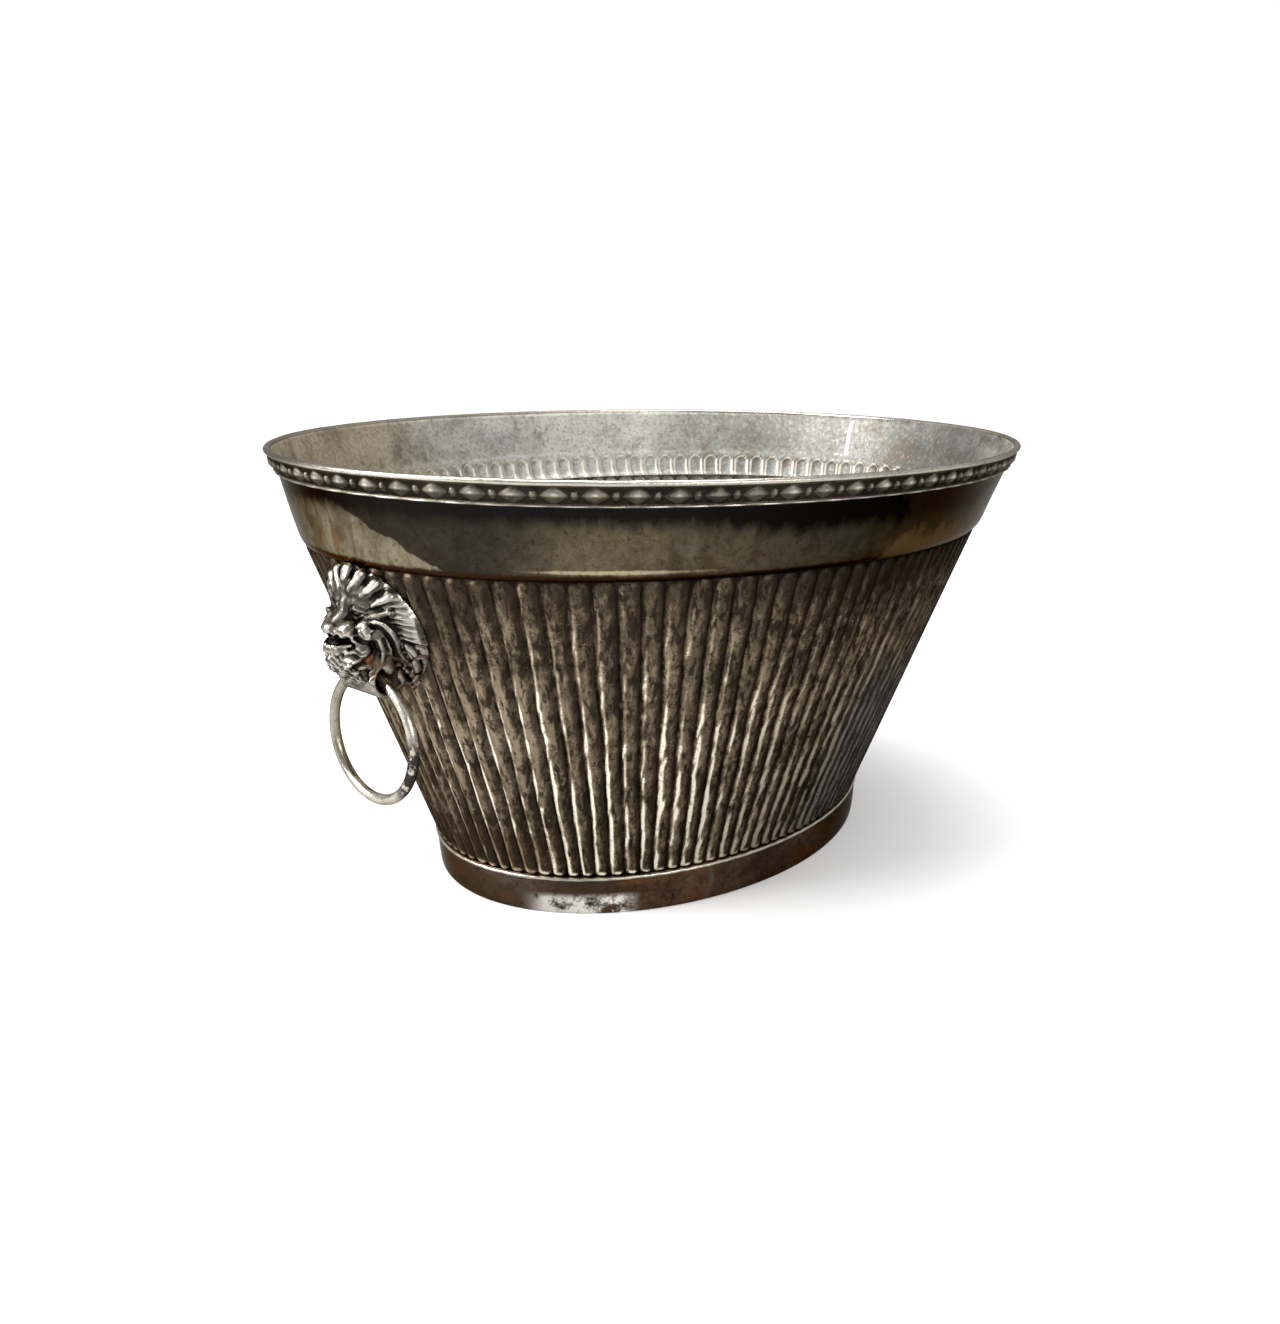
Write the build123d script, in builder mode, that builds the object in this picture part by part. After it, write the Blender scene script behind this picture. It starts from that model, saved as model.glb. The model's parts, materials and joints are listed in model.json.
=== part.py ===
from build123d import *
import math
import os

# An oval champagne bucket in silver plate: a fluted sheet wall on a plain foot band, a
# bead-and-reel rim and a cast lion mask with a loose drop ring at each end.
# Millimetres. +Z is up, X runs along the oval, and the origin is the middle of the
# foot's underside.

# Driving sizes: (half length, half width) of the oval at each level, on its outer face.
HEIGHT = 220.0
FOOT_HEIGHT = 20.0
FLUTE_TOP = 177.0
BAND_TURN = 181.0
BORDER_BOTTOM = 208.5
LIP_BOTTOM = 216.5

FOOT_BASE_OVAL = (138.5, 99.0)
FOOT_TOP_OVAL = (141.0, 99.0)
FLUTE_BASE_OVAL = (141.0, 99.0)
FLUTE_TOP_OVAL = (201.5, 157.0)
BAND_TURN_OVAL = (204.5, 161.5)
BORDER_OVAL = (209.0, 172.0)
WALL_TOP_OVAL = (210.8, 174.0)
LIP_OVAL = (215.0, 178.2)

SHEET = 1.6
FLUTES = 108
FLUTE_RELIEF = 1.8
BAND_OVERHANG = 0.4

FOOT_SHEET = 3.6
PAN_THICKNESS = 2.0
FOOT_WIRE_RADIUS = 1.0

BORDER_FOOT_PROUD = 1.6
BORDER_HEAD_PROUD = 3.2
LIP_FILLET = 1.7

# The masks stand on the sloping end walls. Their middle is at this height.
MASK_HEIGHT = 147.0
MASK_HALF_WIDTH = 29.0
MASK_HALF_HEIGHT = 27.0
MASK_LIFT = 8.0
MASK_GAP = 0.1

# The drop rings hang from a hole across each lion's chin.
HINGE_REACH = 195.5
HINGE_HEIGHT = 127.0
RING_RADIUS = 28.8
RING_WIRE_RADIUS = 2.5
RING_CLEARANCE = 0.7
CHIN_WIDTH = 10.0
CHIN_RADIUS = 6.2
CHIN_MOUTH = 13.0

STUD_RADIUS = 2.0
STUD_HOLE_RADIUS = 2.2
STUD_IN_MASK = 7.0
STUD_SPACING = 26.0
WASHER_RADIUS = 5.0
WASHER_THICKNESS = 0.8
NUT_RADIUS = 4.2
NUT_THICKNESS = 3.2

WALL_SLOPE = math.atan((FLUTE_TOP_OVAL[0] - FLUTE_BASE_OVAL[0]) / (FLUTE_TOP - FOOT_HEIGHT))
SIDES = {"left": -1, "right": 1}


def grown(oval, distance):
    """The oval with both half axes made larger by a distance."""
    return oval[0] + distance, oval[1] + distance


def between(low, high, share):
    """An oval part of the way from one oval to another."""
    return tuple(a + (b - a) * share for a, b in zip(low, high))


def flute_oval(z):
    """The oval through the flutes' crests at a height."""
    share = (z - FOOT_HEIGHT) / (FLUTE_TOP - FOOT_HEIGHT)
    return between(FLUTE_BASE_OVAL, FLUTE_TOP_OVAL, share)


def spaced_angles(oval, count):
    """Ellipse angles that divide an oval's outline into equal lengths."""
    steps = 40 * count
    lengths = [0.0]
    for i in range(steps):
        turn = 2 * math.pi * (i + 0.5) / steps
        speed = math.hypot(oval[0] * math.sin(turn), oval[1] * math.cos(turn))
        lengths.append(lengths[-1] + speed)
    angles = []
    reached = 0
    for k in range(count):
        while lengths[reached + 1] <= lengths[-1] * k / count:
            reached += 1
        angles.append(2 * math.pi * reached / steps)
    return angles


def oval_point(oval, angle, inset=0.0):
    """A point on an oval, or inset from it along the outline's normal."""
    nx = math.cos(angle) / oval[0]
    ny = math.sin(angle) / oval[1]
    size = math.hypot(nx, ny)
    x = oval[0] * math.cos(angle) - inset * nx / size
    y = oval[1] * math.sin(angle) - inset * ny / size
    return x, y


def fluted_face(z, oval):
    """A scalloped oval: one arc for each flute, its crest on the oval."""
    angles = spaced_angles(oval, 2 * FLUTES)
    with BuildSketch(Plane.XY.offset(z)) as face:
        with BuildLine():
            for k in range(FLUTES):
                start = oval_point(oval, angles[2 * k], FLUTE_RELIEF)
                crest = oval_point(oval, angles[2 * k + 1])
                end = oval_point(oval, angles[(2 * k + 2) % (2 * FLUTES)], FLUTE_RELIEF)
                ThreePointArc(start, crest, end)
        make_face()
    return face.sketch


def oval_face(z, oval):
    """A plain oval at a height."""
    with BuildSketch(Plane.XY.offset(z)) as face:
        Ellipse(*oval)
    return face.sketch


def oval_faces(levels, distance=0.0):
    """Plain ovals at each (height, oval), all made larger by a distance."""
    return [oval_face(z, grown(oval, distance)) for z, oval in levels]


def fluted_faces(distance=0.0):
    """The two ends of the fluted stretch, made larger by a distance."""
    base = fluted_face(FOOT_HEIGHT, grown(FLUTE_BASE_OVAL, distance))
    return [base, fluted_face(FLUTE_TOP, grown(FLUTE_TOP_OVAL, distance))]


def mask_plane(side, along=0.0, out=0.0):
    """The plane of an end wall: local Y runs up the wall and local Z points outwards."""
    normal = Vector(side * math.cos(WALL_SLOPE), 0, -math.sin(WALL_SLOPE))
    upward = Vector(side * math.sin(WALL_SLOPE), 0, math.cos(WALL_SLOPE))
    foot = Vector(side * flute_oval(MASK_HEIGHT)[0], 0, MASK_HEIGHT)
    return Plane(origin=foot + upward * along + normal * out, x_dir=(0, side, 0), z_dir=normal)


def chin_plane(side):
    """The plane across the ring's hinge axis at one end of the chin, facing +Y."""
    origin = (side * HINGE_REACH, -CHIN_WIDTH / 2, HINGE_HEIGHT)
    return Plane(origin=origin, x_dir=(1, 0, 0), z_dir=(0, 1, 0))


def ring_plane(side):
    """The hanging ring's own plane: local X along the hinge axis, local Y down."""
    origin = (side * HINGE_REACH, 0, HINGE_HEIGHT)
    return Plane(origin=origin, x_dir=(0, 1, 0), z_dir=(-1, 0, 0))


def body_wall():
    """The raised sheet: fluted below, with a plain band that turns out above the flutes."""
    upper_band = (
        (BAND_TURN, BAND_TURN_OVAL),
        (BORDER_BOTTOM, BORDER_OVAL),
        (LIP_BOTTOM, WALL_TOP_OVAL),
    )
    overhang = oval_face(FLUTE_TOP, grown(FLUTE_TOP_OVAL, BAND_OVERHANG))
    shelf = oval_face(FLUTE_TOP, grown(FLUTE_TOP_OVAL, -SHEET - FLUTE_RELIEF - BAND_OVERHANG))
    with BuildPart() as wall:
        loft(fluted_faces(), ruled=True)
        loft([overhang] + oval_faces(upper_band), ruled=True)
        loft(fluted_faces(-SHEET), ruled=True, mode=Mode.SUBTRACT)
        loft([shelf] + oval_faces(upper_band, -SHEET), ruled=True, mode=Mode.SUBTRACT)
        for side in SIDES.values():
            for along in (-STUD_SPACING / 2, STUD_SPACING / 2):
                with BuildSketch(mask_plane(side, along, -STUD_IN_MASK)):
                    Circle(STUD_HOLE_RADIUS)
                extrude(amount=2 * STUD_IN_MASK, mode=Mode.SUBTRACT)
    return wall


def foot_band():
    """The plain band that the bucket stands on."""
    levels = ((0, FOOT_BASE_OVAL), (FOOT_HEIGHT, FOOT_TOP_OVAL))
    with BuildPart() as foot:
        loft(oval_faces(levels), ruled=True)
        loft(oval_faces(levels, -FOOT_SHEET), ruled=True, mode=Mode.SUBTRACT)
    return foot


def base_pan():
    """The floor, let into the top of the foot band."""
    low = FOOT_HEIGHT - PAN_THICKNESS
    low_oval = between(FOOT_BASE_OVAL, FOOT_TOP_OVAL, low / FOOT_HEIGHT)
    levels = ((low, low_oval), (FOOT_HEIGHT, FOOT_TOP_OVAL))
    with BuildPart() as pan:
        loft(oval_faces(levels, -FOOT_SHEET), ruled=True)
    return pan


def foot_wire():
    """The wire soldered round the top of the foot band."""
    low = FOOT_HEIGHT - 2 * FOOT_WIRE_RADIUS
    low_oval = between(FOOT_BASE_OVAL, FOOT_TOP_OVAL, low / FOOT_HEIGHT)
    levels = ((low, low_oval), (FOOT_HEIGHT, FOOT_TOP_OVAL))
    with BuildPart() as wire:
        loft(oval_faces(levels, FOOT_WIRE_RADIUS), ruled=True)
        fillet(wire.edges().filter_by(GeomType.ELLIPSE), FOOT_WIRE_RADIUS * 0.7)
        loft(oval_faces(levels), ruled=True, mode=Mode.SUBTRACT)
    return wire


def rim_border():
    """The cast strip round the outside of the wall's top edge."""
    levels = ((BORDER_BOTTOM, BORDER_OVAL), (LIP_BOTTOM, WALL_TOP_OVAL))
    proud = (BORDER_FOOT_PROUD, BORDER_HEAD_PROUD)
    with BuildPart() as border:
        loft([oval_face(z, grown(oval, more)) for (z, oval), more in zip(levels, proud)], ruled=True)
        loft(oval_faces(levels), ruled=True, mode=Mode.SUBTRACT)
    return border


def rim_lip():
    """The half-round lip that caps the sheet and the border."""
    with BuildPart() as lip:
        with BuildSketch(Plane.XY.offset(LIP_BOTTOM)):
            Ellipse(*LIP_OVAL)
            Ellipse(*grown(WALL_TOP_OVAL, -SHEET), mode=Mode.SUBTRACT)
        extrude(amount=HEIGHT - LIP_BOTTOM)
        fillet(lip.faces().sort_by(Axis.Z)[-1].edges(), LIP_FILLET)
    return lip


def lion_mask(side):
    """A cast mask, hollowed to the wall's curve, with the ring's hole through its chin.

    The hole's mouths flare as the ring bends away, so it clears the ring at every swing.
    """
    bore_arc = RING_RADIUS - RING_WIRE_RADIUS - RING_CLEARANCE
    throat = RING_RADIUS - bore_arc
    flare = RING_RADIUS - math.sqrt(bore_arc**2 - CHIN_MOUTH**2)
    wall = (
        (FOOT_HEIGHT, grown(FLUTE_BASE_OVAL, BAND_OVERHANG)),
        (FLUTE_TOP, grown(FLUTE_TOP_OVAL, BAND_OVERHANG)),
        (BAND_TURN, BAND_TURN_OVAL),
    )
    with BuildPart() as mask:
        for out, share in ((-4, 1.0), (6, 0.93), (13, 0.6)):
            with BuildSketch(mask_plane(side, (1 - share) * MASK_LIFT, out)):
                Ellipse(MASK_HALF_WIDTH * share, MASK_HALF_HEIGHT * share)
        loft()
        for out, width, height in ((4, 26, 24), (20, 21, 18), (25, 15, 12)):
            with BuildSketch(mask_plane(side, -5, out)):
                RectangleRounded(width, height, radius=5)
        loft()
        with BuildSketch(chin_plane(side)):
            Circle(CHIN_RADIUS)
            with Locations((-side * CHIN_RADIUS, -CHIN_RADIUS)):
                Circle(CHIN_RADIUS)
            make_hull()
        extrude(amount=CHIN_WIDTH)
        with BuildSketch(ring_plane(side)):
            with BuildLine():
                mouth = ThreePointArc((-CHIN_MOUTH, flare), (0, throat), (CHIN_MOUTH, flare))
                Polyline(mouth @ 1, (CHIN_MOUTH, 0), (-CHIN_MOUTH, 0), mouth @ 0)
            make_face()
        revolve(axis=Axis((side * HINGE_REACH, 0, HINGE_HEIGHT), (0, 1, 0)), mode=Mode.SUBTRACT)
        loft(oval_faces(wall, MASK_GAP), ruled=True, mode=Mode.SUBTRACT)
        for along in (-STUD_SPACING / 2, STUD_SPACING / 2):
            with BuildSketch(mask_plane(side, along)):
                Circle(STUD_RADIUS)
            extrude(amount=STUD_IN_MASK, mode=Mode.SUBTRACT)
    return mask


def ring_handle(side):
    """The drop ring, hanging plumb from the chin hole."""
    middle = (side * HINGE_REACH, 0, HINGE_HEIGHT - RING_RADIUS)
    with BuildPart(Plane(origin=middle, x_dir=(0, 1, 0), z_dir=(1, 0, 0))) as ring:
        Torus(RING_RADIUS, RING_WIRE_RADIUS)
    return ring


def fixing(side, low, high, outline):
    """Both of a mask's fixings between two depths on the stud axes, as separate solids."""
    with BuildPart() as pieces:
        for along in (-STUD_SPACING / 2, STUD_SPACING / 2):
            with BuildSketch(mask_plane(side, along, low)):
                outline()
            extrude(amount=high - low)
    return pieces


def washer_outline():
    Circle(WASHER_RADIUS)
    Circle(STUD_RADIUS, mode=Mode.SUBTRACT)


def nut_outline():
    RegularPolygon(NUT_RADIUS, 6)
    Circle(STUD_RADIUS, mode=Mode.SUBTRACT)


def stud_outline():
    Circle(STUD_RADIUS)


def write(name, piece):
    piece.part.label = name
    export_step(piece.part, f"parts/{name}.step")


os.makedirs("parts", exist_ok=True)

write("body_wall", body_wall())
write("foot_band", foot_band())
write("base_pan", base_pan())
write("foot_wire", foot_wire())
write("rim_border", rim_border())
write("rim_lip", rim_lip())

washer_face = -(SHEET + FLUTE_RELIEF + 0.4)
nut_face = washer_face - WASHER_THICKNESS
nut_back = nut_face - NUT_THICKNESS
stud_end = nut_back - 1.0
for end, side in SIDES.items():
    write(f"lion_mask_{end}", lion_mask(side))
    write(f"ring_handle_{end}", ring_handle(side))
    write(f"mask_studs_{end}", fixing(side, stud_end, STUD_IN_MASK, stud_outline))
    write(f"mask_washers_{end}", fixing(side, nut_face, washer_face, washer_outline))
    write(f"mask_nuts_{end}", fixing(side, nut_back, nut_face, nut_outline))
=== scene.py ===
import json
import math

import bpy
import numpy as np
from mathutils import Matrix, Vector


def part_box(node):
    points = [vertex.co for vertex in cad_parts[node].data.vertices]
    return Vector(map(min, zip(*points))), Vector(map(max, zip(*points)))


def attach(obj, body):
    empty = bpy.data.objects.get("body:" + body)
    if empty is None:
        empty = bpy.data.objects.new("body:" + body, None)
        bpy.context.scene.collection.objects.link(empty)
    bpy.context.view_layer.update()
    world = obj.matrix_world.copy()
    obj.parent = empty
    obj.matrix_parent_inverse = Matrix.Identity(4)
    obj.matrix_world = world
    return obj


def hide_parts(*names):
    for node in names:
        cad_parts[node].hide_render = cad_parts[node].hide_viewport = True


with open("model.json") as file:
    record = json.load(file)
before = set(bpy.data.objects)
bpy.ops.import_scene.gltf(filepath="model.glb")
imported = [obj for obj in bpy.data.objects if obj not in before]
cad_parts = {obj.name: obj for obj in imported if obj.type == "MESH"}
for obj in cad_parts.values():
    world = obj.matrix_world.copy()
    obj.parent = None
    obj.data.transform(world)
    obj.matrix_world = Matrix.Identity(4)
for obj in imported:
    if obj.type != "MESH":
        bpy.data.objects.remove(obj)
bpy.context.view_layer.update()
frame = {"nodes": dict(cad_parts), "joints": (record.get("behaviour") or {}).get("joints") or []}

# The champagne bucket's looks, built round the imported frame. Metres, +Z up, X along the
# oval. Every place comes from the frame's nodes; the sizes below are of fine detail.

RANDOM = np.random.default_rng(7)
BODY = "bucket"
MM = 0.001

# The sheet and its flutes. The band bulges most, and its edge has a painted highlight, where it
# faces these ways.
SHEET = 1.6 * MM
FLUTES = 108
FLUTE_TOP = 177 * MM
INNER_FLUTE_TOP = 190 * MM
FLUTE_RELIEF = 1.8 * MM
GROOVE_GAP = 0.4 * MM
BULGE_ANGLE = math.radians(238)
HIGHLIGHT_ANGLE = math.radians(221)
# The border and the lip.
BEADS = 76
BORDER_TOP = 218.2 * MM
LIP_FLARE = 1.6 * MM
LIP_FOOT = 217.4 * MM
LIP_WIDTH = 3.4 * MM
# The lions, and the air between a ring and the edge of its hole, in millimetres.
MASK_MIDDLE = 147 * MM
RING_AIR = 0.6


# ---------------------------------------------------------------- ovals and meshes


def cad_oval(node, height):
    """Half length and half width of a CAD node's outline at a height where it has an edge."""
    corners = np.array([v.co for v in frame["nodes"][node].data.vertices])
    level = corners[np.abs(corners[:, 2] - height) < 0.1 * MM]
    return np.array([level[:, 0].max(), level[:, 1].max()])


def arc_angles(oval, shares):
    """Ellipse angles at given shares of an oval's outline, by arc length."""
    turn = np.linspace(0, 2 * math.pi, 14401)
    middle = (turn[1:] + turn[:-1]) / 2
    speed = np.hypot(oval[0] * np.sin(middle), oval[1] * np.cos(middle))
    length = np.concatenate([[0], np.cumsum(speed)])
    shares = np.asarray(shares)
    whole = np.floor(shares)
    return np.interp((shares - whole) * length[-1], length, turn) + 2 * math.pi * whole


def oval_points(oval, angles, height):
    """Points and outward level normals of an oval at a height."""
    c, s = np.cos(angles), np.sin(angles)
    points = np.stack([oval[0] * c, oval[1] * s, np.full_like(c, height)], -1)
    normals = np.stack([c / oval[0], s / oval[1], np.zeros_like(c)], -1)
    return points, normals / np.linalg.norm(normals, axis=-1, keepdims=True)


def outline(oval, shares, height):
    """Points and outward normals of an oval at given shares of its outline, at a height."""
    return oval_points(oval, arc_angles(oval, shares), height)


def perimeter(oval):
    """Length of an oval's outline, by Ramanujan's second formula."""
    h = ((oval[0] - oval[1]) / (oval[0] + oval[1])) ** 2
    return math.pi * (oval[0] + oval[1]) * (1 + 3 * h / (10 + math.sqrt(4 - 3 * h)))


def new_mesh(name, points, quads):
    """A mesh object from points and four-cornered faces."""
    mesh = bpy.data.meshes.new(name)
    mesh.vertices.add(len(points))
    mesh.vertices.foreach_set("co", np.ascontiguousarray(points, np.float32).ravel())
    mesh.loops.add(quads.size)
    mesh.loops.foreach_set("vertex_index", quads.astype(np.int32).ravel())
    mesh.polygons.add(len(quads))
    mesh.polygons.foreach_set("loop_start", np.arange(0, quads.size, 4, dtype=np.int32))
    mesh.polygons.foreach_set("loop_total", np.full(len(quads), 4, np.int32))
    mesh.update(calc_edges=True)
    mesh.validate()
    mesh.polygons.foreach_set("use_smooth", np.ones(len(mesh.polygons), bool))
    piece = bpy.data.objects.new(name, mesh)
    bpy.context.scene.collection.objects.link(piece)
    return piece


def closed_grid(name, grid):
    """A closed tube: grid[column, row] is joined to its neighbours and round both ways."""
    columns, rows = grid.shape[:2]
    index = np.arange(columns * rows).reshape(columns, rows)
    right = np.roll(index, -1, 0)
    quads = np.stack([index, right, np.roll(right, -1, 1), np.roll(index, -1, 1)], -1)
    return new_mesh(name, grid.reshape(-1, 3), quads.reshape(-1, 4))


def set_attributes(piece, **values):
    """Values at every point, or one for all points, that the materials read by name."""
    for name, value in values.items():
        layer = piece.data.attributes.new(name, "FLOAT", "POINT")
        layer.data.foreach_set("value", np.resize(np.asarray(value, np.float32), len(layer.data)))


def mixed(a, b, share):
    """a where share is 0, b where it is 1."""
    return a + (b - a) * share


def smooth_step(low, high, x):
    """0 below low and 1 above high, with a smooth rise between; the other way if high < low."""
    t = np.clip((x - low) / (high - low), 0, 1)
    return t * t * (3 - 2 * t)


def waves(count, lengths, size):
    """A function of (which, along): a sum of slow sines, different for each of count lines."""
    phases = RANDOM.uniform(0, 2 * math.pi, (len(lengths), count))
    sizes = RANDOM.uniform(0.4, 1.0, (len(lengths), count)) * size / len(lengths)

    def value(which, along):
        total = 0.0
        for wave, phase, each in zip(lengths, phases, sizes):
            total = total + each[which] * np.sin(2 * math.pi * along / wave + phase[which])
        return total

    return value


def finish_piece(piece, body, material, node):
    """Give a piece its material and its body, and hide the CAD node that it stands for."""
    piece.data.materials.append(material)
    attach(piece, body)
    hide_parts(node)


# ---------------------------------------------------------------- materials


class Nodes:
    """Short calls for building one material's node tree."""

    def __init__(self, name):
        self.material = bpy.data.materials.new(name)
        self.material.use_nodes = True
        self.tree = self.material.node_tree
        self.shader = self.tree.nodes["Principled BSDF"]

    def add(self, kind, **values):
        node = self.tree.nodes.new(kind)
        for key, value in values.items():
            setattr(node, key, value)
        return node

    def put(self, socket, value):
        if isinstance(value, bpy.types.NodeSocket):
            self.tree.links.new(value, socket)
        else:
            socket.default_value = value

    def math(self, operation, a, b=0.0, c=0.0):
        node = self.add("ShaderNodeMath", operation=operation)
        for socket, value in zip(node.inputs, (a, b, c)):
            self.put(socket, value)
        return node.outputs[0]

    def plus(self, a, b):
        return self.math("ADD", a, b)

    def times(self, product, *factors):
        for factor in factors:
            product = self.math("MULTIPLY", product, factor)
        return product

    def scaled(self, value, factor, shift):
        return self.math("MULTIPLY_ADD", value, factor, shift)

    def between(self, value, low, high, start=0.0, end=1.0):
        """value rescaled smoothly from low..high to start..end."""
        node = self.add("ShaderNodeMapRange", interpolation_type="SMOOTHSTEP")
        for socket, number in zip(node.inputs, (value, low, high, start, end)):
            self.put(socket, number)
        return node.outputs[0]

    def zone(self, *spans):
        """1 where every span (value, where it is none, where it is whole) is whole."""
        return self.times(*(self.between(*span) for span in spans))

    def blend(self, share, a, b, mode="MIX"):
        """Two colours mixed, or two plain numbers."""
        node = self.add("ShaderNodeMix", data_type="RGBA", blend_type=mode)
        self.put(node.inputs[0], share)
        for socket, value in ((node.inputs[6], a), (node.inputs[7], b)):
            self.put(socket, (value,) * 4 if isinstance(value, float) else value)
        return node.outputs[2]

    def attributes(self, *names):
        """The outputs of the named values that set_attributes stored."""
        nodes = (self.add("ShaderNodeAttribute", attribute_name=name) for name in names)
        return [node.outputs["Fac"] for node in nodes]


def rgb(red, green, blue):
    return (red, green, blue, 1.0)


# Silver, from bright to tarnished black, and the metals under it.
WHITE_SILVER = rgb(0.97, 0.93, 0.84)
HIGHLIGHT_CREAM = rgb(0.97, 0.90, 0.74)
PALE_STREAK = rgb(0.95, 0.93, 0.88)
GLINT = rgb(0.95, 0.92, 0.86)
CREAM = rgb(0.80, 0.75, 0.64)
CAST_CREAM = rgb(0.68, 0.645, 0.56)
SAND = rgb(0.60, 0.48, 0.33)
GOLDEN_HIGHLIGHT = rgb(0.56, 0.46, 0.30)
HALF_HIGHLIGHT = rgb(0.46, 0.365, 0.24)
SILVER = rgb(0.46, 0.43, 0.37)
EDGE_TINT = rgb(0.45, 0.42, 0.38)
BUFF = rgb(0.40, 0.315, 0.205)
TAN = rgb(0.37, 0.295, 0.20)
DULL_SILVER = rgb(0.27, 0.245, 0.20)
GREY_COPPER = rgb(0.26, 0.22, 0.165)
GREY_OLIVE = rgb(0.24, 0.215, 0.16)
STAIN = rgb(0.22, 0.18, 0.14)
FAR_BROWN = rgb(0.20, 0.16, 0.10)
WORN = rgb(0.17, 0.148, 0.112)
COOL_GREY = rgb(0.10, 0.115, 0.14)
OLIVE = rgb(0.078, 0.064, 0.045)
BROWN = rgb(0.070, 0.036, 0.020)
FOOT_SHADE = rgb(0.07, 0.054, 0.042)
SHADED = rgb(0.035, 0.025, 0.017)
END_BROWN = rgb(0.034, 0.026, 0.021)
SEPIA = rgb(0.03, 0.022, 0.014)
PATINA = rgb(0.028, 0.023, 0.017)
HOLLOW = rgb(0.020, 0.017, 0.014)
PATCH_BLACK = rgb(0.02, 0.014, 0.012)
EDGE_BLACK = rgb(0.016, 0.014, 0.011)
GROOVE_BLACK = rgb(0.012, 0.009, 0.007)
BORDER_SHADE = rgb(0.012, 0.011, 0.010)
SOOT = rgb(0.007, 0.006, 0.005)
COPPER = rgb(0.27, 0.115, 0.05)
EDGE_COPPER = rgb(0.17, 0.10, 0.048)
CAST_BROWN = rgb(0.15, 0.09, 0.055)
RUST = rgb(0.085, 0.05, 0.03)
UMBER = rgb(0.06, 0.033, 0.02)
UNDERSIDE_SHADE = rgb(0.042, 0.020, 0.011)
BRASS = rgb(0.40, 0.28, 0.12)
# Pairs that a surface is mottled with, the darker one first.
INSIDE_GREY = rgb(0.42, 0.42, 0.38), rgb(0.66, 0.66, 0.61)
INSIDE_HONEY = rgb(0.36, 0.305, 0.215), rgb(0.60, 0.52, 0.395)
FLUTE_BROWN = rgb(0.072, 0.056, 0.038), rgb(0.24, 0.187, 0.125)
BAND_OLIVE = rgb(0.080, 0.063, 0.038), rgb(0.19, 0.155, 0.095)
PALE_OLIVE = rgb(0.13, 0.11, 0.07), rgb(0.30, 0.26, 0.175)
BORDER_GROUND = rgb(0.05, 0.042, 0.032), WORN
FOOT_COPPER = rgb(0.085, 0.048, 0.028), rgb(0.23, 0.135, 0.078)
CAST_GREY = rgb(0.06, 0.055, 0.045), rgb(0.26, 0.235, 0.195)


class Metal(Nodes):
    """Plated metal: where its points are, its noises, and the values every plated piece shares."""

    def __init__(self, name):
        super().__init__(name)
        self.set("Metallic", 1.0)
        self.set("Specular Tint", EDGE_TINT)
        self.place = self.add("ShaderNodeTexCoord").outputs["Object"]
        split = self.add("ShaderNodeSeparateXYZ")
        self.put(split.inputs[0], self.place)
        self.along, self.deep, self.height = split.outputs
        self.broad = self.noise(13.0, 4.0, 0.6, distortion=0.4)
        self.cloud = self.noise(48.0, 5.0, 0.65, distortion=0.6)
        self.speck = self.noise(430.0, 3.0, 0.7)
        self.streak = self.noise(150.0, 3.0, 0.6, stretch=0.1)
        self.grit = self.noise(300.0, 6.0, 0.85, distortion=0.3)

    def set(self, name, value):
        self.put(self.shader.inputs[name], value)

    def noise(self, scale, detail, roughness, stretch=1.0, distortion=0.0):
        """Noise per metre; a stretch below 1 draws it out upwards."""
        mapping = self.add("ShaderNodeMapping")
        self.put(mapping.inputs["Vector"], self.place)
        mapping.inputs["Scale"].default_value = (1, 1, stretch)
        node = self.add("ShaderNodeTexNoise")
        self.put(node.inputs["Vector"], mapping.outputs[0])
        node.inputs["Scale"].default_value = scale
        node.inputs["Detail"].default_value = detail
        node.inputs["Roughness"].default_value = roughness
        node.inputs["Distortion"].default_value = distortion
        return node.outputs["Fac"]

    def mottled(self, dark, light, low=0.40, high=0.60):
        """Two colours in soft patches with a finer break-up inside them."""
        mix = self.scaled(self.broad, 0.35, self.times(self.cloud, 0.3))
        mix = self.scaled(self.grit, 0.35, mix)
        return self.blend(self.between(mix, low, high), dark, light)

    def tint(self, colour, tint, share, low, high, noise=None):
        """A patchy tint of another colour, at most share strong."""
        amount = self.between(self.cloud if noise is None else noise, low, high)
        return self.blend(self.times(amount, share), colour, tint)

    def specks(self, colour, share, tint=SOOT, low=0.57, high=0.67):
        return self.tint(colour, tint, share, low, high, self.speck)

    def darker(self, colour, share):
        """The colour times share."""
        grey = self.add("ShaderNodeCombineColor")
        for socket in grey.inputs[:3]:
            self.put(socket, share)
        return self.blend(1.0, colour, grey.outputs[0], "MULTIPLY")

    def right_end_shade(self, colour, least=0.42, start=-0.13, end=0.06):
        """Painted shade: darker towards the right-hand end."""
        return self.darker(colour, self.between(self.along, start, end, 1.0, least))

    def broken(self, amount, spread):
        """amount with its edge broken up by streaks, patches and grit."""
        for noise in (self.streak, self.cloud, self.grit):
            amount = self.plus(amount, self.scaled(noise, spread, -spread / 2))
        return amount

    def done(self, colour, dull, polished, tarnished, bump=0.3):
        """Finish with a colour, a dullness 0 to 1, the roughness at each end of it, and bump."""
        self.set("Base Color", colour)
        uneven = self.scaled(self.cloud, 0.5, self.times(self.speck, 0.2))
        dull = self.scaled(uneven, 0.6, self.plus(dull, -0.2))
        self.set("Roughness", self.between(dull, 0.0, 1.0, polished, tarnished))
        grain = self.scaled(self.grit, 0.5, self.times(self.speck, 0.12))
        node = self.add("ShaderNodeBump")
        node.inputs["Strength"].default_value = bump
        node.inputs["Distance"].default_value = 1.0 * MM
        self.put(node.inputs["Height"], self.scaled(self.cloud, 0.9, grain))
        self.set("Normal", node.outputs[0])
        return self.material


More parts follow.
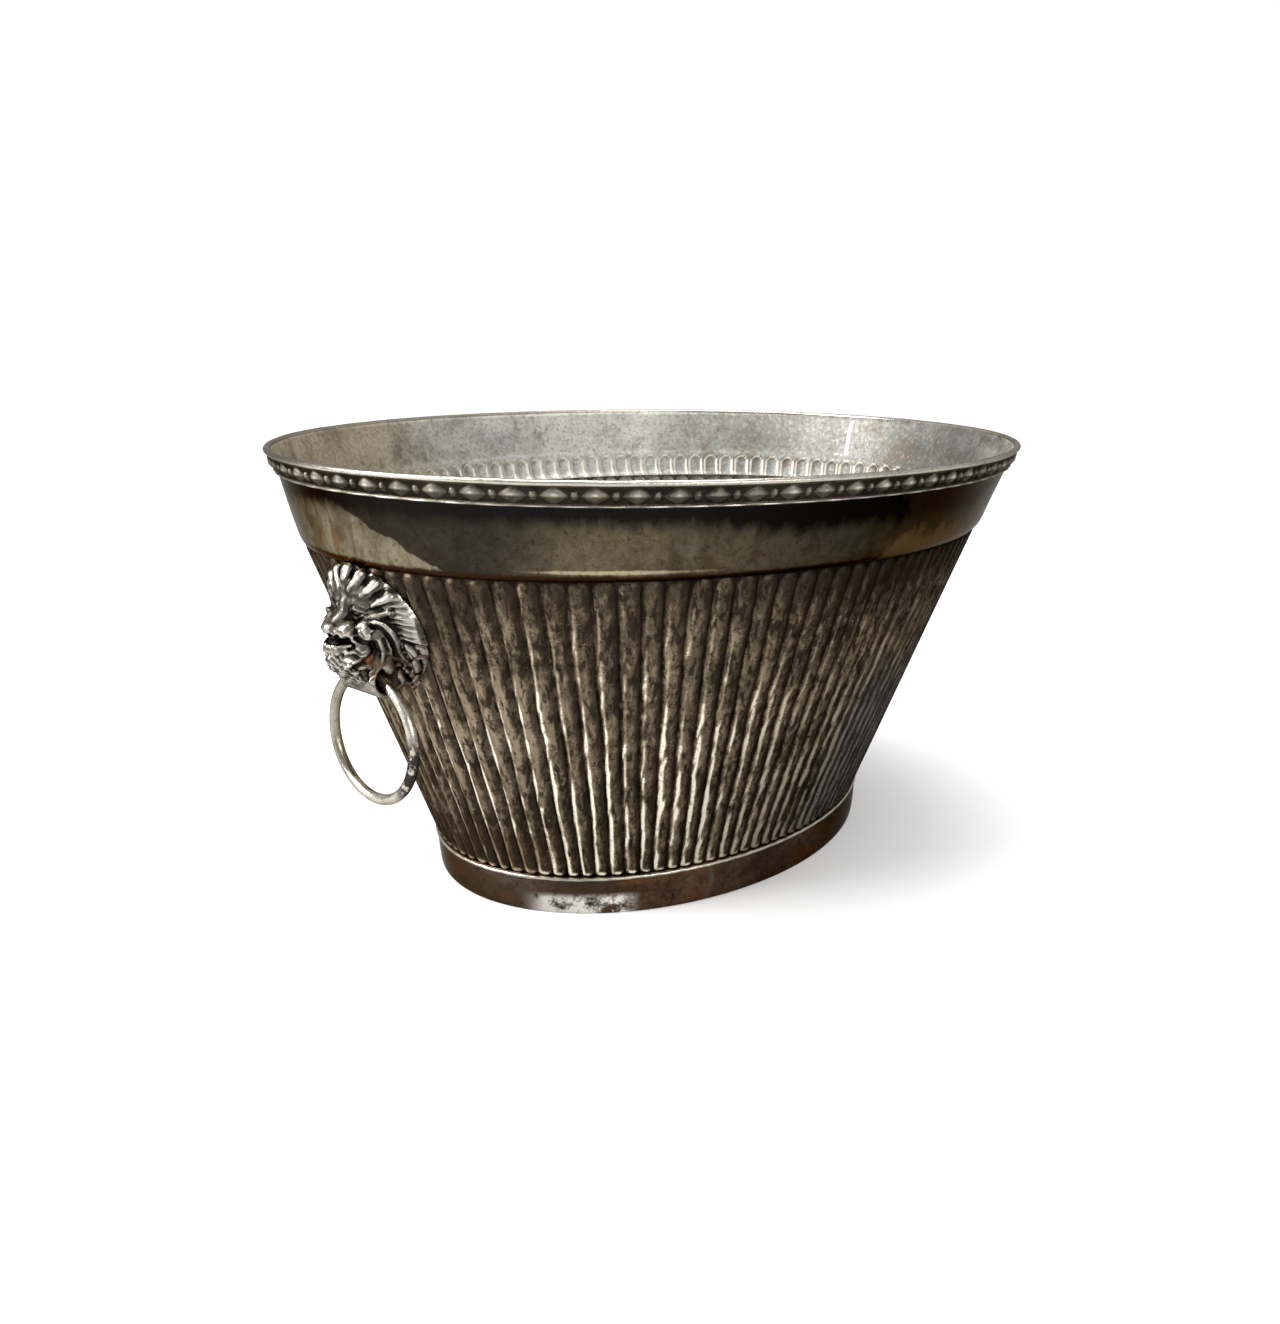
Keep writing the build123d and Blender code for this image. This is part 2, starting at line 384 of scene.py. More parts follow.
def inner_look(n):
    """The inside: pale and finely specked, honey-coloured to the left, with one long thin pale
    streak.
    """
    pale = n.mottled(*INSIDE_GREY, 0.42, 0.58)
    honey = n.mottled(*INSIDE_HONEY, 0.42, 0.58)
    pale = n.blend(n.between(n.along, 0.03, -0.09), pale, honey)
    pale = n.darker(pale, n.between(n.along, 0.12, 0.19, 1.0, 0.5))
    pale = n.tint(pale, STAIN, 0.7, 0.54, 0.66, n.noise(26.0, 6.0, 0.7, distortion=0.8))
    pale = n.specks(pale, 0.45, WORN, 0.52, 0.64)
    pale = n.specks(pale, 0.22, CREAM, 0.44, 0.37)
    aside = n.math("ABSOLUTE", n.plus(n.deep, -0.0123))
    past_end = n.math("ABSOLUTE", n.plus(n.height, -0.205))
    pale_streak = n.zone((aside, 0.0013, 0.0008), (n.along, 0.1, 0.15), (past_end, 0.0115, 0.0105))
    return n.blend(pale_streak, pale, PALE_STREAK)


def wall_metal():
    """Dark olive tarnish; each flute has a painted highlight left and painted shade right. Paler
    and specked inside.
    """
    n = Metal("wall_silver")
    rise, shine, inside = n.attributes("wear", "shine", "inside")
    ground = n.tint(n.mottled(*FLUTE_BROWN), RUST, 0.6, 0.48, 0.66)
    patch = n.scaled(n.grit, 0.5, n.times(n.noise(30.0, 5.0, 0.7), 0.5))
    ground = n.tint(ground, TAN, 0.8, 0.53, 0.62, patch)
    # The left-hand end is worn pale half way up, and brown in its lower corner.
    left = n.zone((n.along, -0.13, -0.17), (n.height, 0.035, 0.07), (n.height, 0.15, 0.11))
    worn = n.between(n.noise(60.0, 6.0, 0.75, 0.35, 0.8), 0.43, 0.55)
    ground = n.blend(n.times(left, worn, 0.8), ground, SAND)
    corner = n.zone((n.along, -0.126, -0.134), (n.broken(n.height, 0.05), 0.056, 0.040))
    wrinkle = n.noise(330.0, 3.0, 0.6, 0.13, 0.5)
    ground = n.tint(ground, PATINA, 0.85, 0.5, 0.6, wrinkle)
    ground = n.tint(ground, BUFF, 0.7, 0.44, 0.34, wrinkle)
    ground = n.blend(n.times(corner, 0.7), ground, UMBER)
    # Painted shade under the band's overhang, deeper towards the right; it also dims the painted
    # highlight.
    under_band_shade = n.zone((n.broken(n.height, 0.02), 0.148, 0.176), (n.along, -0.13, -0.06, 0.5, 0.85))
    ground = n.blend(under_band_shade, ground, SEPIA)
    # Each flute has painted shade on its right side and a painted highlight on its left, brighter
    # towards the left-hand end.
    uneven = n.plus(n.broken(shine, 0.9), n.between(n.along, -0.14, -0.03, 0.08, -0.10))
    uneven = n.scaled(under_band_shade, -0.3, uneven)
    outer = n.blend(n.between(uneven, -0.02, -0.45, 0.0, 0.8), ground, SHADED)
    outer = n.blend(n.between(uneven, 0.15, 0.5), outer, HALF_HIGHLIGHT)
    # The painted highlight's brightest part, fading towards the right; it is half as metallic, so
    # it stays bright.
    rubbed_and_highlight = n.zone((uneven, 0.42, 0.8), (n.along, -0.10, -0.03, 1.0, 0.3))
    rubbed_and_highlight = n.times(rubbed_and_highlight, n.scaled(corner, -0.85, 1.0))
    outer = n.blend(rubbed_and_highlight, outer, HIGHLIGHT_CREAM)
    outer = n.blend(n.between(n.broken(rise, 0.5), 0.32, -0.08), outer, GROOVE_BLACK)
    cool = n.zone((n.along, -0.02, 0.02), (n.height, 0.125, 0.09))
    outer = n.blend(n.times(cool, 0.6), outer, COOL_GREY)
    # Painted shade towards the right-hand end.
    outer = n.right_end_shade(n.specks(outer, 0.6))
    n.set("Metallic", n.scaled(rubbed_and_highlight, -0.5, 1.0))
    pale = n.blend(n.between(n.broken(rise, 0.4), 0.8, 1.0), inner_look(n), OLIVE)
    dull = n.blend(inside, n.blend(rubbed_and_highlight, 0.6, 0.1), 0.55)
    return n.done(n.blend(inside, outer, pale), dull, 0.2, n.scaled(inside, 0.5, 0.5), 0.45)


def band_metal():
    """Olive tarnish, with painted shade near black under the border and a painted highlight along
    the bulge's edge.
    """
    n = Metal("band_silver")
    wear, level, inside = n.attributes("wear", "level", "inside")
    ground = n.tint(n.mottled(*BAND_OLIVE, 0.42, 0.60), BROWN, 0.6, 0.52, 0.64)
    ground = n.tint(ground, GREY_OLIVE, 0.35, 0.56, 0.62, n.noise(9.0, 4.0, 0.55, distortion=1.4))
    ground = n.tint(ground, COPPER, 0.4, 0.62, 0.70, n.noise(17.0, 5.0, 0.6))
    # The left-hand end is pale under a slanting line, and black over it.
    wander = n.scaled(n.noise(60.0, 4.0, 0.6), 0.010, -0.005)
    line = n.scaled(n.deep, -0.45, n.plus(n.height, n.plus(wander, -0.2026)))
    over = n.zone((line, -0.0004, 0.0006), (n.along, -0.16, -0.19))
    ground = n.blend(n.times(over, 0.8), ground, EDGE_BLACK)
    drips = n.noise(90.0, 3.0, 0.6, 0.25)
    under = n.zone((line, 0.0004, -0.0006), (n.along, -0.186, -0.196), (drips, 0.60, 0.50))
    ground = n.blend(under, ground, n.mottled(*PALE_OLIVE))
    # Painted shade, near black, under the border, reaching lower away from the left-hand end.
    raised = n.plus(n.broken(level, 0.3), n.between(n.along, -0.15, -0.08, 0.0, 0.16))
    ground = n.blend(n.between(raised, 0.62, 0.9), ground, BORDER_SHADE)
    # Painted shade on the bulge's underside, just above the flutes.
    ground = n.blend(n.between(n.broken(level, 0.05), 0.125, 0.075), ground, UNDERSIDE_SHADE)
    # A painted highlight along the bulge's lower edge.
    edge_highlight = n.between(n.broken(wear, 0.35), 0.60, 0.95)
    outer = n.specks(n.blend(edge_highlight, ground, GOLDEN_HIGHLIGHT), 0.45)
    # Painted shade towards the right-hand end.
    outer = n.right_end_shade(outer, 0.36, -0.155, -0.08)
    # The right-hand end is browner, with copper showing along its lower edge.
    ragged = n.scaled(n.noise(26.0, 4.0, 0.6, distortion=1.0), 0.09, n.along)
    brown_end = n.between(ragged, 0.0, 0.016)
    outer = n.blend(n.times(brown_end, 0.4), outer, END_BROWN)
    spots = n.between(n.noise(16.0, 4.0, 0.6), 0.52, 0.58)
    bare = n.math("MAXIMUM", spots, n.between(n.along, 0.09, 0.06))
    low_edge = n.times(n.between(n.broken(n.height, 0.016), 0.191, 0.184), bare)
    outer = n.blend(n.times(brown_end, low_edge, 0.6), outer, EDGE_COPPER)
    # Inside, the ridges and arches carry a painted highlight in cream.
    pale = n.blend(n.between(wear, 0.5, 0.9), inner_look(n), CREAM)
    dull = n.blend(inside, n.blend(edge_highlight, 0.35, 0.1), 0.5)
    return n.done(n.blend(inside, outer, pale), dull, 0.14, n.scaled(inside, 0.5, 0.46))


def border_metal():
    """Cream where the beads and fillets stand proud, brighter on the beads' upper halves as a
    painted highlight; black in the ground between them.
    """
    n = Metal("border_silver")
    (wear,) = n.attributes("wear")
    ground = n.tint(n.mottled(*BORDER_GROUND), BROWN, 0.5, 0.5, 0.66)
    uneven = n.broken(wear, 0.45)
    rubbed_and_highlight = n.between(uneven, 0.58, 0.95)
    colour = n.blend(n.between(uneven, 0.25, 0.55), ground, DULL_SILVER)
    colour = n.blend(rubbed_and_highlight, colour, CREAM)
    colour = n.blend(n.between(wear, 0.14, 0.02, 0.0, 0.75), colour, SOOT)
    return n.done(n.specks(colour, 0.3), n.math("SUBTRACT", 0.7, rubbed_and_highlight), 0.2, 0.5)


def foot_metal():
    """Brown and worn to copper in places, greyer in others, with one painted white reflection."""
    n = Metal("foot_copper")
    ground = n.mottled(*FOOT_COPPER)
    ground = n.tint(ground, COPPER, 0.6, 0.51, 0.66, n.noise(34.0, 6.0, 0.7, 2.5))
    ground = n.tint(ground, GREY_COPPER, 0.6, 0.54, 0.64, n.noise(22.0, 5.0, 0.7, distortion=1.0))
    # A painted reflection: a white patch low on the front, towards the left, less metallic than
    # the rest.
    glint = n.zone(
        (n.along, -0.095, -0.105), (n.along, -0.135, -0.128), (n.deep, -0.02, -0.04),
        (n.noise(60.0, 5.0, 0.7), 0.40, 0.52), (n.height, 0.012, 0.008),
    )
    ground = n.blend(glint, ground, GLINT)
    n.set("Metallic", n.scaled(glint, -0.6, 1.0))
    ground = n.blend(n.times(n.between(n.along, -0.09, -0.13), 0.5), ground, FOOT_SHADE)
    # Painted shade towards the right-hand end.
    return n.done(n.right_end_shade(n.specks(ground, 0.5), 0.55), 0.3, 0.1, 0.4)


def bright_metal(name, patina_share=0.35):
    """Handled silver: cream and bright, browner on the far side, with patches of patina."""
    n = Metal(name)
    colour = n.mottled(SILVER, CREAM, 0.34, 0.54)
    patches = n.noise(55.0, 6.0, 0.75, distortion=1.2)
    colour = n.tint(colour, OLIVE, patina_share, 0.52, 0.66, patches)
    colour = n.tint(colour, BROWN, patina_share * 0.8, 0.6, 0.7)
    far = n.times(n.between(n.deep, 0.0, 0.024), patina_share * 1.5)
    colour = n.blend(far, colour, FAR_BROWN)
    # A black patch low on the front.
    dark_patch = n.zone(
        (n.deep, -0.016, -0.024), (n.height, 0.108, 0.098), (n.noise(120.0, 4.0, 0.7), 0.40, 0.47),
    )
    colour = n.blend(n.times(dark_patch, 0.95), colour, PATCH_BLACK)
    return n.done(n.specks(colour, 0.35), 0.2, 0.12, 0.45)


def mask_metal():
    """Cast silver: worn bright ridges, a painted highlight on the tufts along the top, black
    hollows, brown below, copper by the mouth.
    """
    n = Metal("mask_silver")
    wear, copper, low, tuft_highlight = n.attributes("wear", "copper", "low", "tuft_highlight")
    ground = n.tint(n.mottled(*CAST_GREY), BROWN, 0.35, 0.5, 0.68)
    ground = n.blend(n.times(low, 0.75), ground, CAST_BROWN)
    rubbed_and_highlight = n.between(n.broken(wear, 0.5), 0.5, 0.95)
    rubbed_and_highlight = n.times(rubbed_and_highlight, n.scaled(low, -0.55, 1.0))
    colour = n.blend(rubbed_and_highlight, ground, CAST_CREAM)
    # A painted highlight in white on the tufts along the top.
    tuft_highlight = n.times(n.between(n.broken(wear, 0.3), 0.5, 0.8), tuft_highlight)
    colour = n.blend(tuft_highlight, colour, WHITE_SILVER)
    colour = n.blend(n.between(wear, 0.2, 0.0), colour, HOLLOW)
    colour = n.blend(n.between(n.broken(copper, 0.3), 0.3, 0.8), colour, COPPER)
    return n.done(n.specks(colour, 0.3), n.math("SUBTRACT", 0.7, rubbed_and_highlight), 0.18, 0.5)


def brass_metal():
    n = Metal("fixing_brass")
    colour = n.tint(n.mottled(BRASS, OLIVE), BROWN, 0.5, 0.5, 0.66)
    return n.done(n.specks(colour, 0.4), 0.4, 0.2, 0.5)


# ---------------------------------------------------------------- the wall


wall_low, wall_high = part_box("body_wall")
foot_low, foot_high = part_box("foot_band")
border_low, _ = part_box("rim_border")
_, lip_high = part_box("rim_lip")

BASE_HEIGHT = wall_low.z
BASE_OVAL = cad_oval("body_wall", BASE_HEIGHT)
FLUTE_OVAL = cad_oval("body_wall", FLUTE_TOP) - 0.4 * MM
BORDER_OVAL = cad_oval("body_wall", border_low.z)
TOP_OVAL = cad_oval("body_wall", wall_high.z)


def flute_oval(height):
    """The oval through the flutes' crests at a height."""
    return mixed(BASE_OVAL, FLUTE_OVAL, (height - BASE_HEIGHT) / (FLUTE_TOP - BASE_HEIGHT))


def tongue(across, along, half_width, top, bottom, power):
    """Height, 0 to 1, of a round-ended convex tongue at (across, along) in metres."""
    round_top = np.maximum(along - (top - half_width * 0.9), 0) / 0.9
    round_bottom = np.maximum((bottom + half_width * 0.6) - along, 0) / 0.6
    reach = np.sqrt(across**2 + round_top**2 + round_bottom**2) / half_width
    return 1 - np.clip(reach, 0, 1) ** power


def fluted_wall():
    """The fluted stretch of the sheet: outside, top edge, inside and bottom edge in one tube."""
    phases = np.array([0.0, 0.045, 0.1, 0.19, 0.33, 0.5, 0.67, 0.81, 0.9, 0.955])
    columns = len(phases) * FLUTES
    flute = np.repeat(np.arange(FLUTES), len(phases))
    phase = np.tile(phases, FLUTES)
    ends = np.array([0, 0.5, 1.1, 1.8, 2.6, 3.6, 4.9, 6.8]) * MM
    middle = np.linspace(BASE_HEIGHT + 10 * MM, FLUTE_TOP - 10 * MM, 28)
    heights = np.concatenate([BASE_HEIGHT + ends, middle, FLUTE_TOP - ends[::-1]])

    drift = waves(FLUTES, (0.055, 0.13), 0.7 * MM)
    depth = waves(FLUTES, (0.035, 0.09, 0.2), 0.35)
    jitter = waves(FLUTES, (0.009, 0.014, 0.026), 0.13)
    next_flute = (flute + 1) % FLUTES
    skin = np.zeros((columns, len(heights), 3))
    inner = np.zeros_like(skin)
    wear = np.zeros((columns, len(heights)))
    shine = np.zeros((columns, len(heights)))
    glint = RANDOM.uniform(0.6, 1.1, FLUTES)
    gleam = waves(FLUTES, (0.017, 0.041, 0.09), 0.75)
    for row, height in enumerate(heights):
        oval = flute_oval(height)
        pitch = perimeter(oval) / FLUTES
        shift = drift(flute, height) * (1 - phase) + drift(next_flute, height) * phase
        shares = (flute + phase + 0.5) / FLUTES + shift / perimeter(oval)
        points, normals = outline(oval, shares, height)
        across = (phase - 0.5) * pitch
        along = np.full(columns, height)
        share = (height - BASE_HEIGHT) / (FLUTE_TOP - BASE_HEIGHT)
        rise = tongue(
            across, along, (pitch - GROOVE_GAP) / 2,
            FLUTE_TOP - 0.4 * MM, BASE_HEIGHT - 0.2 * MM, 2.4 + 1.4 * share,
        )
        relief = FLUTE_RELIEF * (1 + depth(flute, height) * 0.6)
        skin[:, row] = points + normals * (relief * (rise - 1))[:, None]
        inner[:, row] = skin[:, row] - normals * SHEET
        wear[:, row] = rise
        # Each flute has a painted highlight in a streak left of its crest, wider and brighter
        # lower down, and another at its foot. Its right-hand side has painted shade.
        strength = 0.3 + 0.86 * smooth_step(0.92, 0.3, share)
        width = 0.075 + 0.05 * (1 - share)
        left = np.exp(-(((phase - 0.18 - jitter(flute, height)) / width) ** 2))
        left = left * strength * (glint + gleam(np.arange(FLUTES), height))[flute]
        foot = np.exp(-(((height - BASE_HEIGHT) / MM - 1.9) / 1.2) ** 2) * rise * 0.85
        shaded = 0.55 * smooth_step(0.45, 0.85, phase) * (1 - foot)
        shine[:, row] = np.maximum(left, foot) * smooth_step(0.05, 0.3, rise) - shaded
    grid = np.concatenate([skin, inner[:, ::-1]], 1)
    piece = closed_grid("fluted_wall", grid)
    inside = 1 - wear[:, ::-1] * 0.75
    set_attributes(
        piece,
        wear=np.concatenate([wear, inside], 1),
        shine=np.concatenate([shine, inside * 0], 1),
        inside=np.concatenate([wear * 0, inside * 0 + 1], 1),
    )
    return piece


def band_points(share, shares, height):
    """The band's outline: a straight flare that bulges over the flutes in two places."""
    stations = np.array([0, 0.02, 0.06, 0.12, 0.2, 0.35, 0.6, 0.85, 1.0])
    swell = np.array([0, 0.12, 0.26, 0.36, 0.44, 0.54, 0.71, 0.88, 1.0])
    straight = mixed(FLUTE_OVAL, BORDER_OVAL, share)
    bulged = mixed(FLUTE_OVAL, BORDER_OVAL, np.interp(share, stations, swell))
    angles = arc_angles(straight, shares)
    points, normals = oval_points(straight, angles, height)
    proud, _ = oval_points(bulged, angles, height)
    bulge = 0.22 + 0.78 * np.cos(angles - BULGE_ANGLE) ** 2
    return points + (proud - points) * bulge[:, None], normals


def plain_band():
    """The plain band above the flutes and the sheet behind the border, with slight dents.

    Its inside carries the flutes' arched upper ends, which reach higher than they do outside.
    """
    per_flute = 8
    columns = per_flute * FLUTES
    shares = np.arange(columns) / columns
    phase = (shares * FLUTES - 0.5) % 1.0
    rise = border_low.z - FLUTE_TOP
    steps = np.concatenate([np.linspace(0, 0.2, 12), np.linspace(0.24, 1.0, 20)])
    levels = [FLUTE_TOP + rise * s for s in steps]
    levels += [border_low.z + (wall_high.z - border_low.z) * s for s in (0.35, 0.7, 1.0, 1.25)]
    dent = waves(6, (0.35, 0.19, 0.11), 1.1 * MM)
    along_rim = shares * perimeter(BORDER_OVAL)
    pitch = perimeter(FLUTE_OVAL) / FLUTES
    outer, inner, glow = [], [], []
    for height in levels:
        lift = (height - FLUTE_TOP) / rise
        if lift <= 1:
            points, normals = band_points(lift, shares, height)
        else:
            climb = (height - border_low.z) / (wall_high.z - border_low.z)
            oval = mixed(BORDER_OVAL, TOP_OVAL, climb) + LIP_FLARE * climb
            points, normals = outline(oval, shares, height)
        bow = math.sin(math.pi * min(lift, 1.0))
        wobble = dent(0, along_rim) * bow * 0.6 + dent(1, along_rim + height) * bow * 0.3
        points = points + normals * wobble[:, None]
        # The flutes' arches inside: the ridges between them stand in from the sheet.
        across = (phase - 0.5) * pitch
        cell = tongue(across, np.full(columns, height), pitch * 0.46, INNER_FLUTE_TOP, 0.0, 2.6)
        below = smooth_step(INNER_FLUTE_TOP + 4 * MM, INNER_FLUTE_TOP, height)
        ridge = (1 - cell) * below
        outer.append(points)
        inner.append(points - normals * (SHEET + ridge * 1.2 * MM)[:, None])
        # glow is a painted highlight on the inside's ridges and round the arches' tops.
        glow.append(ridge * (cell > 0.01) + below * np.exp(-((cell - 0.3) / 0.3) ** 2))
    shelf, normals = outline(FLUTE_OVAL, shares, FLUTE_TOP)
    shelf = shelf - normals * (SHEET + FLUTE_RELIEF + 0.3 * MM)
    grid = np.stack(outer + inner[:0:-1] + [shelf], 1)
    piece = closed_grid("plain_band", grid)
    level = np.array([min((h - FLUTE_TOP) / rise, 1.0) for h in levels])
    rows = np.concatenate([level, level[:0:-1], [0.0]])
    # The outside has a painted highlight along the bulge's lower edge, strongest at the highlight
    # angle.
    edge = np.exp(-(((level - 0.15) / 0.055) ** 2))
    facing = 0.3 + 0.7 * np.cos(arc_angles(FLUTE_OVAL, shares) - HIGHLIGHT_ANGLE) ** 26
    outside_wear = facing[:, None] * edge
    inside_wear = np.stack(glow[:0:-1], 1)
    wear = np.concatenate([outside_wear, np.clip(inside_wear, 0, 1), np.zeros((columns, 1))], 1)
    is_inner = np.concatenate([level * 0, level[:0:-1] * 0 + 1, [1.0]])
    every_column = (columns, 1)
    set_attributes(
        piece,
        wear=wear,
        level=np.tile(rows, every_column),
        inside=np.tile(is_inner, every_column),
    )
    return piece


# ---------------------------------------------------------------- foot, rim and lip


def swept_oval(name, shares, section, lift=0.0, push=0.0):
    """A closed tube whose section is a list of (height, oval, outward shift).

    lift raises its points and push moves them outwards.
    """
    rows = []
    for height, oval, out in section:
        points, normals = outline(oval, shares, height)
        rows.append(points + normals * out)
    grid = np.stack(rows, 1)
    outward = grid * np.array([1, 1, 0])
    outward /= np.linalg.norm(outward, axis=-1, keepdims=True)
    grid += outward * np.asarray(push)[..., None]
    grid[..., 2] += np.asarray(lift)[..., None]
    return closed_grid(name, grid)


def round_section(height, oval, out, rise, reach, steps):
    """A round section centred at (height, out): rise is its half height, reach its half width."""
    turns = np.arange(steps) * 2 * math.pi / steps
    return [(height + rise * math.sin(t), oval, out + reach * math.cos(t)) for t in turns]


def foot_band():
    """The plain foot with softened edges and a slightly bowed, hand-planished face."""
    low = cad_oval("foot_band", foot_low.z)
    high = cad_oval("foot_band", foot_high.z)
    height = foot_high.z - foot_low.z
    depth = 3.6 * MM

    def level(share):
        return foot_low.z + height * share, mixed(low, high, share)

    outer = [(0.0, -1.0), (0.012, -0.45), (0.04, -0.1), (0.08, 0.0)]
    outer += [(s, 0.35 * math.sin(math.pi * s)) for s in np.linspace(0.14, 0.9, 12)]
    outer += [(0.96, 0.0), (1.0, -0.2)]
    section = [(*level(s), out * MM) for s, out in outer]
    section += [(*level(s), -depth) for s in (1.0, 0.75, 0.5, 0.25, 0.03)]
    section += [(*level(0.0), -depth + 0.6 * MM)]
    dent = waves(2, (0.31, 0.17, 0.09), 0.7 * MM)
    shares = np.arange(540) / 540
    bow = np.array([math.sin(math.pi * min(max(s[0] / height, 0), 1)) for s in section])
    push = dent(0, shares * perimeter(high))[:, None] * bow
    return swept_oval("foot_band_visual", shares, section, push=push)


def foot_wire():
    """The wire round the top of the foot, nicked by hand work."""
    low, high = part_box("foot_wire")
    radius = (high.z - low.z) / 2
    oval = cad_oval("foot_band", foot_high.z)
    nick = waves(3, (0.011, 0.023, 0.006), 0.22 * MM)
    shares = np.arange(1080) / 1080
    section = round_section(low.z + radius, oval, 0.0, radius * 0.92, radius * 0.92, 10)
    piece = swept_oval("foot_wire_visual", shares, section, nick(0, shares * perimeter(oval)))
    set_attributes(piece, wear=0.85)
    return piece


def bead_height(phase, rise):
    """Bead-and-reel relief, 0 to 1: a long pointed bead with a ridge, then a small reel."""
    x = np.abs(phase - 0.5) / 0.36
    y = np.abs(rise - 0.5) / 0.36
    bead = np.clip(1 - x**1.35 - y**1.25, 0, 1) ** 0.7
    near = np.minimum(phase, 1 - phase)
    reel = np.clip(1 - (near / 0.095) ** 2 - ((rise - 0.5) / 0.21) ** 2, 0, 1) ** 0.5
    return np.maximum(bead, reel * 0.75)


def rim_border():
    """The cast bead-and-reel strip between its two fillets."""
    per_bead = 22
    columns = BEADS * per_bead
    shares = np.arange(columns) / columns
    phase = (shares * BEADS) % 1.0
    height = BORDER_TOP - border_low.z
    bead_size = np.repeat(RANDOM.uniform(0.8, 1.0, BEADS), per_bead)
    rows = np.linspace(0, 1, 25)
    grid, wear = [], []
    for s in rows:
        oval = mixed(BORDER_OVAL, TOP_OVAL, s)
        points, normals = outline(oval, shares, border_low.z + height * s)
        # The lower fillet swells between the beads, and the upper one runs into the lip.
        lower = np.exp(-(((s - 0.07) / 0.055) ** 2)) * (1.25 + 0.25 * np.cos(2 * math.pi * phase))
        upper = smooth_step(0.8, 1.0, s)
        relief = bead_height(phase, np.full(columns, s)) * bead_size
        beads = relief * 1.9
        # The beads' upper halves are brighter: a painted highlight.
        lit = 0.35 + 0.65 * smooth_step(0.44, 0.56, s)
        ground = 0.35 + 2.5 * s
        out = (ground + np.maximum(np.maximum(lower, upper), beads)) * MM
        grid.append(points + normals * out[:, None])
        edges = np.maximum(lower * 0.7, upper * 0.35)
        wear.append(np.clip(np.maximum(edges, relief * lit), 0, 1))
    for s in (1.0, 0.0):
        oval = mixed(BORDER_OVAL, TOP_OVAL + LIP_FLARE, s)
        points, normals = outline(oval, shares, border_low.z + height * s)
        grid.append(points)
        wear.append(np.zeros(columns))
    piece = closed_grid("rim_border_visual", np.stack(grid, 1))
    set_attributes(piece, wear=np.stack(wear, 1))
    return piece


def rim_lip():
    """The thin rolled lip that caps the sheet and the border."""
    outer = np.array([lip_high.x, lip_high.y])
    radius = (lip_high.z - LIP_FOOT) / 2
    half = LIP_WIDTH / 2
    section = round_section(LIP_FOOT + radius, outer, -half, radius, half, 14)
    ripple = waves(3, (0.25, 0.11, 0.037), 0.35 * MM)
    shares = np.arange(720) / 720
    lift = np.minimum(ripple(0, shares * perimeter(outer)), 0)
    return swept_oval("rim_lip_visual", shares, section, lift)


# ---------------------------------------------------------------- floor pan, rings, fixings


def base_pan():
    """The flat floor plate, in one closed skin."""
    low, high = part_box("base_pan")
    oval = np.array([high.x, high.y])
    shares = np.arange(240) / 240
    edge, _ = outline(oval, shares, 0.0)
    upper = [0.02, *np.linspace(0.15, 0.96, 14), 1.0]
    lower = [1.0, *np.linspace(0.9, 0.15, 8), 0.02]
    rings = [(s, high.z) for s in upper] + [(s, low.z) for s in lower]
    grid = np.stack([edge * s + np.array([0, 0, z]) for s, z in rings], 1)
    piece = closed_grid("base_pan_visual", grid)
    set_attributes(piece, wear=0.5)
    return piece


def ring_handle(end):
    """The bent-wire ring: a torus, thinner where it has worn in the chin hole."""
    low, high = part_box(f"ring_handle_{end}")
    middle = (low + high) / 2
    wire = (high.x - low.x) / 2
    radius = (high.z - low.z) / 2 - wire
    turns = np.arange(160) * 2 * math.pi / 160
    steps = np.arange(24) * 2 * math.pi / 24
    size = wire * (1 - 0.03 * (1 + np.sin(turns * 5 + 1.0)) / 2)
    out = radius + size[:, None] * np.cos(steps)
    grid = np.stack([
        middle.x + size[:, None] * np.sin(steps),
        middle.y + np.sin(turns)[:, None] * out,
        middle.z + np.cos(turns)[:, None] * out,
    ], -1)
    return closed_grid(f"ring_{end}", grid)


# ---------------------------------------------------------------- lion masks


